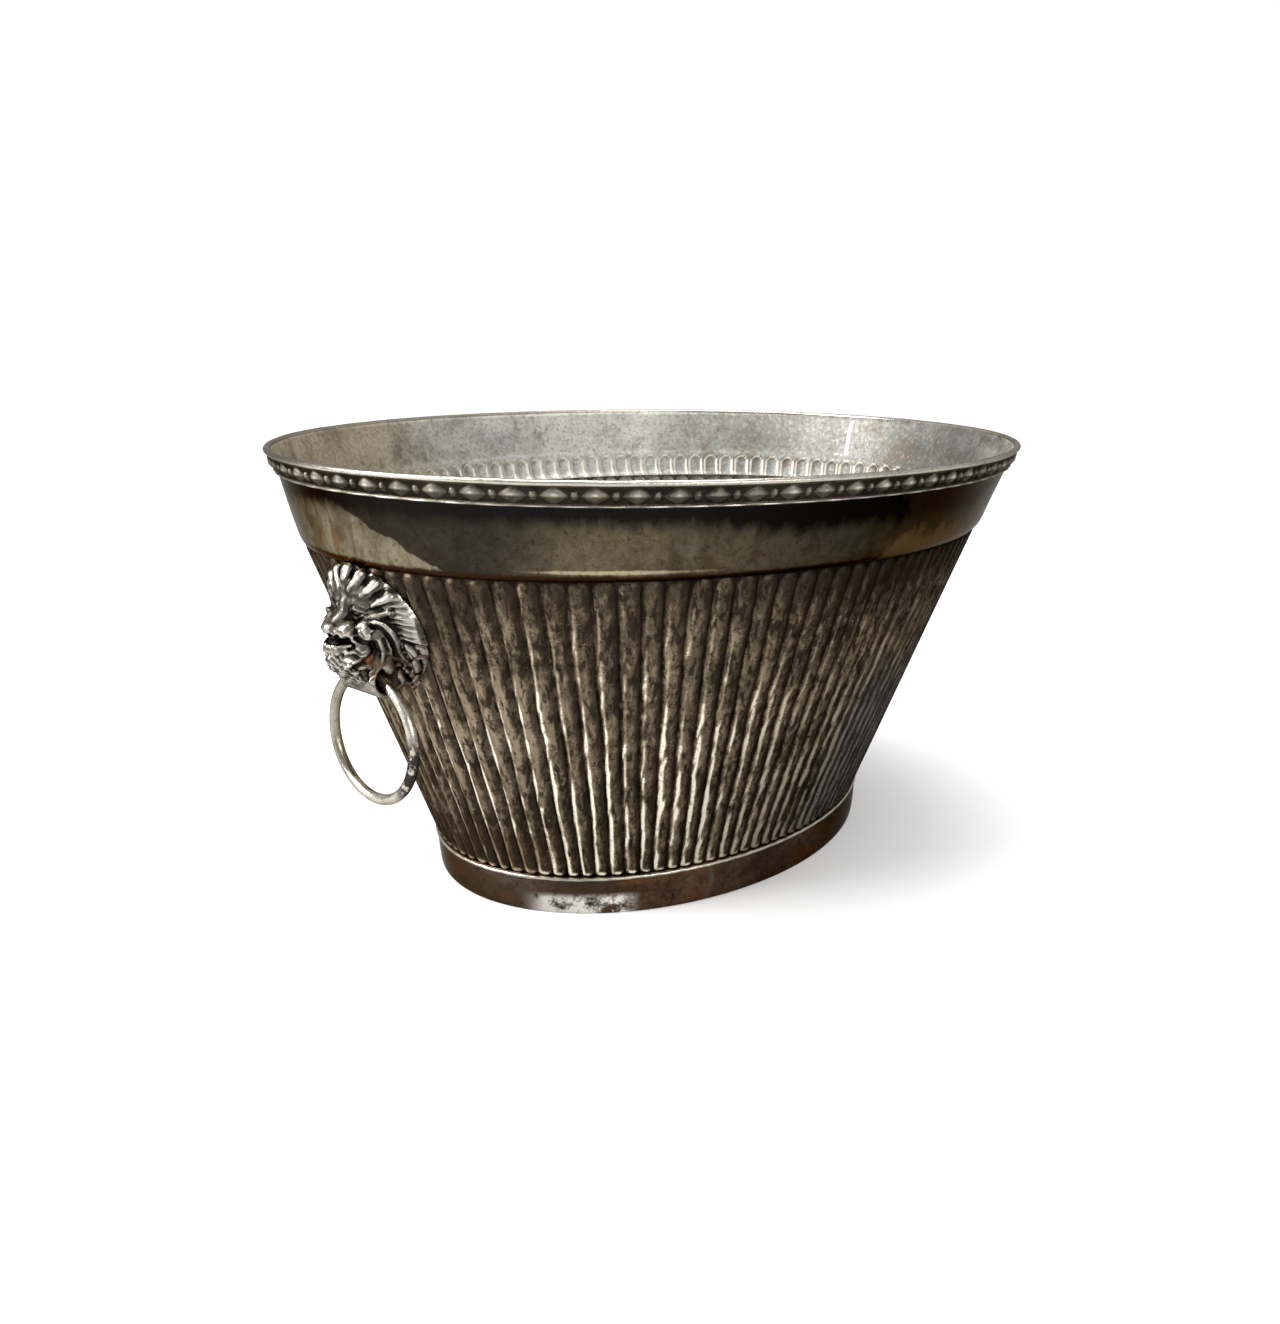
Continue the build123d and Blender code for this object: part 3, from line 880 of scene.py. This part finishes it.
class Clay:
    """A block of space cut into small cells, in which a solid is built up and carved.

    Local millimetres: u across the mask, v up the wall and w out from it, with w 0 on the
    flutes' crests. The mask is symmetric, so shapes are placed by |u|.
    """

    STEP = 0.42
    LOW = np.array([-31.5, -34.0, -6.0])
    HIGH = np.array([31.5, 37.0, 31.0])

    def __init__(self):
        counts = np.ceil((self.HIGH - self.LOW) / self.STEP).astype(int) + 1
        axes = [low + self.STEP * np.arange(n) for low, n in zip(self.LOW, counts)]
        grid = np.meshgrid(*axes, indexing="ij")
        self.signed_u = grid[0].astype(np.float32)
        self.u = np.abs(self.signed_u)
        self.v = grid[1].astype(np.float32)
        self.w = grid[2].astype(np.float32)
        self.field = np.full(self.u.shape, 30.0, np.float32)

    def ball(self, middle, radii):
        """Distance to an ellipsoid."""
        u, v, w = ((axis - m) / r for axis, m, r in zip((self.u, self.v, self.w), middle, radii))
        size = np.sqrt(u * u + v * v + w * w)
        slope = np.sqrt((u / radii[0]) ** 2 + (v / radii[1]) ** 2 + (w / radii[2]) ** 2)
        return size * (size - 1) / np.maximum(slope, 1e-4)

    def rod(self, start, end, start_radius, end_radius):
        """Distance to a tapered round-ended rod."""
        start, end = np.array(start, float), np.array(end, float)
        way = end - start
        away = [axis - s for axis, s in zip((self.u, self.v, self.w), start)]
        share = sum(a * b for a, b in zip(away, way)) / (way @ way)
        share = np.clip(share, 0, 1)
        apart = sum((a - share * b) ** 2 for a, b in zip(away, way))
        return np.sqrt(apart) - mixed(start_radius, end_radius, share)

    def drum(self, v, w, radius, half_length, edge):
        """Distance to a round-edged drum that lies across the mask."""
        round_way = np.hypot(self.v - v, self.w - w) - radius + edge
        end_way = self.u - half_length + edge
        beyond = np.hypot(np.maximum(round_way, 0), np.maximum(end_way, 0))
        return beyond + np.minimum(np.maximum(round_way, end_way), 0) - edge

    def add(self, shape, soft):
        self.field = smooth_least(self.field, shape, soft)

    def carve(self, shape, soft):
        self.field = -smooth_least(-self.field, shape, soft)

    def swell(self, middle, radii, soft):
        self.add(self.ball(middle, radii), soft)

    def hollow(self, middle, radii, soft):
        self.carve(self.ball(middle, radii), soft)

    def emboss(self, relief):
        """Raise the skin by a relief that varies over it."""
        self.field = self.field - relief.astype(np.float32)

    def lock(self, points, radii, soft):
        """A lock of hair or a fold: a chain of tapered rods, as one shape."""
        chain = None
        for a, b, r, s in zip(points, points[1:], radii, radii[1:]):
            rod = self.rod(a, b, r, s)
            chain = rod if chain is None else np.minimum(chain, rod)
        self.add(chain, soft)

    def groove(self, points, radius, soft=0.5):
        for a, b in zip(points, points[1:]):
            self.carve(self.rod(a, b, radius, radius), soft)


def smooth_least(a, b, soft):
    """The lesser of two distances, rounded where they meet."""
    mix = np.clip(0.5 + 0.5 * (b - a) / soft, 0, 1)
    return b + (a - b) * mix - soft * mix * (1 - mix)


def surface_of(field, low, step):
    """Points and faces of the surface where a field of distances crosses zero."""
    solid = field < 0
    cells = tuple(n - 1 for n in field.shape)
    total = np.zeros(cells + (3,))
    crossings = np.zeros(cells)
    for axis in range(3):
        others = [a for a in range(3) if a != axis]
        for shift in ((0, 0), (0, 1), (1, 0), (1, 1)):
            first = [slice(0, n) for n in cells]
            for other, s in zip(others, shift):
                first[other] = slice(s, s + cells[other])
            second = list(first)
            second[axis] = slice(1, 1 + cells[axis])
            a, b = field[tuple(first)], field[tuple(second)]
            cut = solid[tuple(first)] != solid[tuple(second)]
            share = np.where(cut, a / np.where(cut, a - b, 1), 0)
            total[..., axis] += share
            for other, s in zip(others, shift):
                total[..., other] += cut * s
            crossings += cut
    used = crossings > 0
    number = np.full(cells, -1)
    number[used] = np.arange(used.sum())
    corner = np.stack(np.nonzero(used), -1)
    points = low + step * (corner + total[used] / crossings[used][:, None])
    quads = []
    for axis in range(3):
        one, two = (axis + 1) % 3, (axis + 2) % 3
        first = [slice(1, n) for n in cells]
        first[axis] = slice(0, cells[axis])
        second = list(first)
        second[axis] = slice(1, 1 + cells[axis])
        a, b = solid[tuple(first)], solid[tuple(second)]
        place = np.stack(np.nonzero(a != b), -1)
        flip = b[a != b]
        place[:, one] += 1
        place[:, two] += 1
        around = []
        for back_one, back_two in ((1, 1), (0, 1), (0, 0), (1, 0)):
            cell = place.copy()
            cell[:, one] -= back_one
            cell[:, two] -= back_two
            around.append(number[tuple(cell.T)])
        quad = np.stack(around, -1)
        quads.append(np.where(flip[:, None], quad[:, ::-1], quad))
    return points, np.concatenate(quads)


def read_field(field, low, step, points):
    """The field's value at points, between the grid's corners."""
    place = (points - low) / step
    place = np.clip(place, 0, np.array(field.shape) - 1.001)
    cell = place.astype(int)
    part = place - cell
    value = 0.0
    for corner in np.ndindex(2, 2, 2):
        weight = np.prod(np.where(np.array(corner) > 0, part, 1 - part), -1)
        value = value + weight * field[tuple((cell + corner).T)]
    return value


def mane(clay):
    """A low dome of fine combed hair with a clean rim, that sweeps out from the face."""
    dome = clay.ball((0, 2, -6), (31, 33, 14.6))
    out = np.hypot(clay.u / 30, (clay.v - 2) / 32)
    turn = np.arctan2(clay.v - 6, clay.u + 0.5)
    flow = turn + 0.6 * np.maximum(out - 0.35, 0) * np.cos(turn)
    lock = np.abs(np.sin(flow * 9.5 + 0.35)) ** 0.8
    hair = np.sin(flow * 58 + out * 5)
    where = smooth_step(0.40, 0.55, out) * smooth_step(1.02, 0.86, out)
    relief = (where * (0.9 * lock + 0.36 * hair)).astype(np.float32)
    clay.add(dome - relief + 0.6, 1.0)
    rim = (np.hypot(clay.u / 29.2, (clay.v - 2) / 31.4) - 1) * 30
    clay.carve(-rim, 1.8)


def top_tufts(clay):
    """The roll of short, blunt tufts inside the mane's upper edge."""
    for root, tip, size in (
        ((0, 28.8, 4.6), (0, 31.2, 2.8), 3.0),
        ((6.2, 26.8, 4.6), (7.4, 29.2, 2.6), 3.0),
        ((12.0, 23.6, 4.0), (14.2, 25.6, 1.8), 3.0),
        ((17.6, 18.8, 3.0), (20.2, 20.6, 1.0), 2.6),
        ((3.2, 25.0, 7.4), (4.0, 27.0, 6.0), 1.5),
        ((9.2, 22.4, 6.6), (10.8, 24.2, 5.2), 1.6),
        ((14.0, 18.0, 6.0), (16.4, 19.4, 4.6), 1.6),
        ((17.0, 13.2, 5.8), (20.0, 14.0, 4.2), 1.6),
    ):
        clay.lock([root, tip], [size * 0.9, size], 1.6)
    out = np.hypot(clay.u, clay.v - 8)
    turn = np.arctan2(clay.v - 8, clay.u + 0.5)
    comb = np.sin(turn * 34 + out * 0.4) * 0.24
    clay.emboss(comb * smooth_step(14, 16, out) * smooth_step(0.2, 0.5, turn))


def face(clay):
    """Forehead, brows, eyes, short muzzle, whisker pads, open mouth and jaw."""
    clay.swell((0, 17, 3), (13.5, 10.5, 7.4), 3)
    clay.swell((12.5, 3, 6.0), (8.5, 11.5, 6.0), 3)
    # Two brows, the cleft between them, and the eye in its socket with its lids.
    clay.lock([(1.4, 18.2, 9.2), (5.2, 19.4, 8.6), (10.0, 17.2, 7.4)], [1.2, 1.8, 1.2], 1.2)
    clay.lock([(2.2, 22.6, 8.2), (6.2, 22.6, 7.4), (10.6, 20.2, 6.4)], [0.8, 1.1, 0.8], 1.0)
    clay.groove([(0, 27, 8.6), (0, 19.0, 11.6)], 0.7)
    clay.hollow((5.8, 15.2, 10.8), (3.2, 1.9, 2.6), 1.0)
    clay.swell((5.9, 15.0, 9.2), (2.3, 1.8, 2.0), 0.3)
    clay.lock([(2.8, 15.2, 10.0), (5.8, 17.3, 10.4), (9.8, 14.9, 8.8)], [0.8, 1.0, 0.6], 0.5)
    clay.lock([(2.8, 13.9, 10.2), (6.0, 12.7, 10.4), (9.8, 14.0, 8.8)], [0.8, 0.9, 0.6], 0.5)
    clay.lock([(3.6, 12.6, 12.0), (7.4, 11.2, 11.4), (11.0, 13.0, 9.4)], [0.8, 0.9, 0.6], 0.8)
    # The bridge and ball of the nose and its wing, the whisker pad, the cheek and the nostril.
    clay.lock([(0, 19.4, 9.4), (0, 15.2, 11.2), (0, 12.8, 18.0)], [2.6, 2.9, 3.1], 1.8)
    clay.swell((0, 13.0, 21.6), (4.0, 2.6, 2.8), 0.9)
    clay.swell((3.3, 11.9, 20.8), (2.2, 1.9, 2.4), 0.7)
    clay.swell((5.4, 10.6, 16.8), (4.9, 3.7, 5.0), 1.2)
    clay.swell((11.6, 8.4, 12.0), (4.9, 4.8, 4.4), 1.3)
    clay.hollow((2.2, 10.9, 23.8), (1.2, 0.9, 2.0), 0.4)
    clay.groove([(0, 10.4, 24.2), (0, 8.2, 22.8)], 0.6)
    # The jaw, the lower lip and the jaw's corner, the open mouth, and the lip's edge.
    clay.swell((0, -2.4, 18.6), (9.0, 8.8, 9.2), 1.8)
    clay.swell((0, 3.4, 22.4), (7.6, 3.2, 4.2), 1.0)
    clay.swell((8.6, 1.4, 15.0), (3.4, 5.2, 4.6), 1.4)
    clay.hollow((0, 8.4, 24.4), (6.4, 1.5, 5.6), 0.6)
    clay.hollow((6.2, 6.9, 20.4), (2.8, 1.2, 3.6), 0.5)
    clay.lock([(0, 6.2, 25.2), (4.6, 5.8, 24.0), (8.2, 5.0, 20.0)], [0.9, 0.9, 0.7], 0.6)
    clay.lock([(8.6, 7.6, 18.6), (10.8, 3.0, 17.0), (9.8, -3.0, 16.4)], [0.7, 0.9, 0.7], 0.9)


def chin(clay, hinge_v, hinge_w):
    """The bearded jaw and the cross barrel that the ring passes through."""
    clay.swell((0, -10, 15.5), (9.5, 8.0, 8.4), 2.0)
    clay.add(clay.drum(hinge_v, hinge_w, 8.3, 12.8, 1.6), 1.6)
    clay.swell((9.0, -9.5, 9.5), (6.0, 8.0, 6.0), 2.0)
    clay.swell((6.0, -19, 5), (9.0, 7.5, 6.0), 2.0)
    for u, lean in ((0.0, 0.0), (2.9, 0.5), (5.6, 1.3)):
        root = (u, 2.6, 25.6 - u * 0.4)
        middle = (u + lean, -3.4, 26.6 - u * 0.5)
        tip = (u + lean * 2, -10.0, 23.6 - u * 0.4)
        clay.lock([root, middle, tip], [0.9, 1.7, 0.9], 0.6)


def ruff(clay):
    """The raised folds of skin and fur from below the eye, round the cheek, to the barrel."""
    outer = [(12.5, 11.6, 11.2), (16.8, 12.2, 9.6), (20.2, 10.8, 8.3), (21.9, 6.6, 7.2)]
    outer += [(21.8, 1.4, 6.2), (19.8, -5.2, 5.6), (20.4, -10.4, 4.4)]
    clay.groove([(u - 2.0, v - 0.9, w + 1.3) for u, v, w in outer], 1.0, 1.0)
    clay.lock(outer, [0.8, 1.0, 1.2, 1.3, 1.3, 1.2, 0.9], 1.1)
    clay.groove([(u + 2.3, v + 0.6, w + 0.3) for u, v, w in outer[2:]], 0.8, 0.9)
    inner = [(13.8, 8.0, 12.8), (16.6, 4.4, 11.0), (16.0, -1.5, 10.8), (13.6, -7.6, 12.2)]
    clay.groove([(u + 1.9, v - 0.4, w - 0.2) for u, v, w in inner], 1.1, 0.9)
    clay.lock(inner, [0.8, 1.1, 1.1, 0.8], 1.2)


def side_curls(clay):
    """The curled ends of the mane at the mask's lower corners."""
    for curl in (
        [(21.0, -0.6, 4.4), (24.6, -3.0, 3.4), (25.0, -6.4, 3.2), (22.6, -7.8, 3.8)],
        [(19.4, -7.6, 4.4), (23.2, -10.6, 3.4), (23.2, -14.4, 3.0), (20.6, -15.4, 3.8)],
        [(15.6, -14.6, 4.2), (19.6, -18.0, 3.2), (18.8, -22.2, 2.8), (16.0, -22.4, 3.4)],
        [(11.6, -20.6, 3.4), (15.2, -24.6, 2.8), (12.4, -27.2, 2.2)],
    ):
        clay.lock(curl, [1.4, 1.9, 1.7, 1.0][: len(curl)], 0.9)
    out = np.hypot(clay.u - 12, clay.v + 10)
    comb = np.sin(out * 2.6) * 0.28 * smooth_step(4, 8, out) * smooth_step(1, -3, clay.v)
    clay.emboss(comb * smooth_step(14, 17, clay.u))


def beard_curls(clay):
    """Small curls over the jaw, and short combed hair on the pads and cheeks."""
    u, v, w = clay.u, clay.v, clay.w
    curl = np.sin(u * 1.7 + np.sin(v * 0.9)) * np.sin(v * 1.4 + u * 0.6)
    jaw = smooth_step(15.5, 18.5, w) * smooth_step(4.6, 2.6, v) * smooth_step(-16, -13, v)
    pads = smooth_step(9.5, 11.5, w) * smooth_step(5.0, 6.4, v) * smooth_step(13.6, 12.2, v)
    clay.emboss(curl * (0.55 * jaw + 0.30 * pads))


def wall_oval_at(heights):
    """Half length and half width of the wall's outside at many heights, in metres."""
    below = (np.clip(heights, BASE_HEIGHT, FLUTE_TOP) - BASE_HEIGHT) / (FLUTE_TOP - BASE_HEIGHT)
    rise = np.clip((heights - FLUTE_TOP) / (border_low.z - FLUTE_TOP), 0, 1)
    swell = np.interp(rise, [0, 0.06, 0.12, 0.35, 1.0], [0.02, 0.28, 0.38, 0.56, 1.0])
    swell = np.where(rise > 0, swell, 0)
    return [
        mixed(base, top, below) + (rim - top) * swell
        for base, top, rim in zip(BASE_OVAL, FLUTE_OVAL, BORDER_OVAL)
    ]


def wall_slope():
    """The lean of the bucket's ends, outward from upright."""
    return math.atan((FLUTE_OVAL[0] - BASE_OVAL[0]) / (FLUTE_TOP - BASE_HEIGHT))


def mask_frame():
    """Origin and axes (across, up, out) of the left mask's local frame, in metres."""
    slope = wall_slope()
    upward = [-math.sin(slope), 0, math.cos(slope)]
    outward = [-math.cos(slope), 0, -math.sin(slope)]
    origin = np.array([-flute_oval(MASK_MIDDLE)[0], 0, MASK_MIDDLE])
    return origin, np.array([[0, -1, 0], upward, outward])


def fit_to_wall(clay, origin, axes):
    """Hollow the back to the wall, with a hair's gap."""
    local = np.stack([clay.signed_u, clay.v, clay.w], -1) * MM
    place = origin + local @ axes
    a, b = wall_oval_at(place[..., 2])
    level = np.hypot(place[..., 0] / a, place[..., 1] / b)
    slope = np.hypot(place[..., 0] / a**2, place[..., 1] / b**2) / np.maximum(level, 1e-6)
    gap = (level - 1) / slope / MM
    clay.field = np.maximum(clay.field, (0.15 - gap).astype(np.float32))


def clear_the_ring(clay, hinge_v, hinge_w, radius, wire):
    """Cut the ring's flared hole, and beside it the path of the ring's swing."""
    v, w = clay.v - hinge_v, clay.w - hinge_w
    reach = np.hypot(v, w)
    from_middle = np.hypot(clay.u, radius - reach)
    bore = np.where(reach < radius, from_middle - (radius - wire - RING_AIR), -9.0)
    path = wire + RING_AIR - np.abs(from_middle - radius)
    # The ring swings from -25 to 100 degrees. The cut goes a few degrees past each.
    swing = np.degrees(np.arctan2(w, -v) - wall_slope())
    path = np.where((swing > -28) & (swing < 104), path, -9.0)
    cut = np.where(clay.u < 13.5, np.maximum(bore, path), path)
    clay.field = np.maximum(clay.field, cut.astype(np.float32))


def largest_solid(field, seed):
    """The field with every solid that doesn't hold the seed cell taken away.

    The field's outermost cells are empty, so a roll brings nothing round from the far side.
    """
    solid = field < 0
    reached = np.zeros_like(solid)
    reached[seed] = True
    total = 0
    while reached.sum() > total:
        total = reached.sum()
        for _ in range(8):
            spread = reached.copy()
            for axis in range(3):
                spread |= np.roll(reached, 1, axis) | np.roll(reached, -1, axis)
            reached = spread & solid
    return np.where(solid & ~reached, 0.3, field)


def lion_surface():
    """The mask's points, faces and wear, in millimetres, and its frame's origin and axes."""
    origin, axes = mask_frame()
    joint = next(j for j in frame["joints"] if j["child"] == "left_ring")
    _, hinge_v, hinge_w = axes @ (np.array(joint["pos_m"]) - origin) / MM
    low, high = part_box("ring_handle_left")
    wire = (high.x - low.x) / 2 / MM
    radius = (high.z - low.z) / 2 / MM - wire

    clay = Clay()
    mane(clay)
    top_tufts(clay)
    side_curls(clay)
    face(clay)
    chin(clay, hinge_v, hinge_w)
    ruff(clay)
    beard_curls(clay)
    clear_the_ring(clay, hinge_v, hinge_w, radius, wire)
    fit_to_wall(clay, origin, axes)
    clay.field[[0, -1]] = clay.field[:, [0, -1]] = clay.field[:, :, [0, -1]] = 1.0
    inside_jaw = tuple(((np.array([0, 5, 5]) - clay.LOW) / clay.STEP).astype(int))
    clay.field = largest_solid(clay.field, inside_jaw)
    points, quads = surface_of(clay.field, clay.LOW, clay.STEP)

    def read(field, places):
        return read_field(field, clay.LOW, clay.STEP, places)

    normals = np.stack([read(slope, points) for slope in np.gradient(clay.field)], -1)
    normals /= np.maximum(np.linalg.norm(normals, axis=-1, keepdims=True), 1e-6)
    # Worn where there is open space ahead of a point, and where the solid behind it is thin.
    open_space = 0.0
    for distance in (0.8, 1.8, 3.6):
        ahead = read(clay.field, points + normals * distance)
        open_space = open_space + np.clip(ahead / distance, -0.2, 1.2) / 3
    edge = np.clip(1 + read(clay.field, points - normals), 0, 1)
    wear = np.clip(0.45 + (open_space - 0.88) * 2.4 + edge * 0.5, 0, 1)
    return points, quads, wear, origin, axes


def lion_masks(material):
    """The left lion, and its mirror image at the right-hand end."""
    points, quads, wear, origin, axes = lion_surface()
    place = origin + points * MM @ axes
    across, up, out = np.abs(points[:, 0]), points[:, 1], points[:, 2]
    from_spot = np.linalg.norm(np.abs(points) - np.array([9.2, 4.2, 15.0]), axis=1)
    looks = dict(
        wear=wear,
        copper=np.exp(-(from_spot / 2.6) ** 2) * (up < 0),
        low=smooth_step(2, -9, up) * smooth_step(22, 17, out),
        # The tufts along the top carry a painted highlight.
        tuft_highlight=smooth_step(25.5, 28, up + across * 0.25),
    )
    for end, side, faces in (("left", 1, quads), ("right", -1, quads[:, ::-1])):
        mask = new_mesh(f"lion_{end}", place * np.array([side, 1, 1]), faces)
        set_attributes(mask, **looks)
        finish_piece(mask, BODY, material, f"lion_mask_{end}")


# ---------------------------------------------------------------- stage, light and camera


def plain_floor():
    """A white floor, greyer in the metal's reflections, as a photographer's table is."""
    n = Nodes("floor_white")
    seen_in_metal = n.add("ShaderNodeLightPath").outputs["Is Glossy Ray"]
    n.put(n.shader.inputs["Base Color"], n.blend(seen_in_metal, 0.95, 0.42))
    n.shader.inputs["Roughness"].default_value = 1.0
    n.shader.inputs["Specular IOR Level"].default_value = 0.0
    bpy.ops.mesh.primitive_plane_add(size=30)
    floor = bpy.context.object
    floor.name = "floor"
    floor.data.materials.append(n.material)


def area_light(name, place, target, size, power):
    """A soft box of a size in metres and a power in watts, aimed at a target."""
    light = bpy.data.lights.new(name, "AREA")
    light.shape = "RECTANGLE"
    light.size, light.size_y = size
    light.energy = power
    holder = bpy.data.objects.new(name, light)
    bpy.context.scene.collection.objects.link(holder)
    holder.location = place
    aim = Vector(target) - Vector(place)
    holder.rotation_euler = aim.to_track_quat("-Z", "Y").to_euler()


def soft_world():
    """White to the camera and in the light on the floor, dim in the metal's reflections."""
    world = bpy.data.worlds.new("studio")
    bpy.context.scene.world = world
    world.use_nodes = True
    tree = world.node_tree
    white = tree.nodes["Background"]
    white.inputs[0].default_value = (1, 1, 1, 1)
    white.inputs[1].default_value = 1.08
    dim = tree.nodes.new("ShaderNodeBackground")
    dim.inputs[0].default_value = (0.96, 0.96, 0.97, 1)
    dim.inputs[1].default_value = 0.5
    path = tree.nodes.new("ShaderNodeLightPath")
    mix = tree.nodes.new("ShaderNodeMixShader")
    tree.links.new(path.outputs["Is Glossy Ray"], mix.inputs[0])
    tree.links.new(white.outputs[0], mix.inputs[1])
    tree.links.new(dim.outputs[0], mix.inputs[2])
    tree.links.new(mix.outputs[0], tree.nodes["World Output"].inputs[0])


def photo_camera():
    """Three-quarter view from the left-hand lion's side, a little above, with a slight roll."""
    azimuth, elevation, roll = math.radians(-49.5), math.radians(14.4), 0.0158
    heights_away = 3.062
    across = Vector((math.cos(azimuth), math.sin(azimuth), 0))
    level_back = Vector((math.sin(azimuth), -math.cos(azimuth), 0))
    back = level_back * math.cos(elevation) + Vector((0, 0, math.sin(elevation)))
    upward = back.cross(across)
    tilted_across = across * math.cos(roll) + upward * math.sin(roll)
    tilted_up = upward * math.cos(roll) - across * math.sin(roll)
    data = bpy.data.cameras.new("photo_camera")
    data.sensor_width = 36.0
    data.lens = 32.63
    data.shift_x, data.shift_y = -0.0156, -0.0225
    data.clip_start = 0.01
    camera = bpy.data.objects.new("photo_camera", data)
    bpy.context.scene.collection.objects.link(camera)
    turn = Matrix((tilted_across, tilted_up, back)).transposed().to_4x4()
    place = Vector((0, 0, lip_high.z / 2)) + back * lip_high.z * heights_away
    camera.matrix_world = Matrix.Translation(place) @ turn
    bpy.context.scene.camera = camera


wall, border = wall_metal(), border_metal()
finish_piece(fluted_wall(), BODY, wall, "body_wall")
finish_piece(plain_band(), BODY, band_metal(), "body_wall")
finish_piece(foot_band(), BODY, foot_metal(), "foot_band")
finish_piece(foot_wire(), BODY, border, "foot_wire")
finish_piece(rim_border(), BODY, border, "rim_border")
finish_piece(rim_lip(), BODY, bright_metal("lip_silver", 0.2), "rim_lip")
finish_piece(base_pan(), BODY, wall, "base_pan")
lion_masks(mask_metal())
ring, brass = bright_metal("ring_silver"), brass_metal()
for end in ("left", "right"):
    finish_piece(ring_handle(end), f"{end}_ring", ring, f"ring_handle_{end}")
    for kind in ("studs", "washers", "nuts"):
        frame["nodes"][f"mask_{kind}_{end}"].material_slots[0].material = brass

plain_floor()
soft_world()
area_light("key", (-1.1, 0.5, 0.8), (-0.2, 0, 0.05), (0.7, 0.9), 24)
area_light("fill", (-0.4, -1.7, 0.7), (0, 0, 0.1), (0.9, 0.4), 7)
area_light("top", (0.1, 0.1, 1.5), (0, 0, 0), (0.9, 0.9), 12)
photo_camera()
bpy.context.scene.view_settings.view_transform = "Standard"
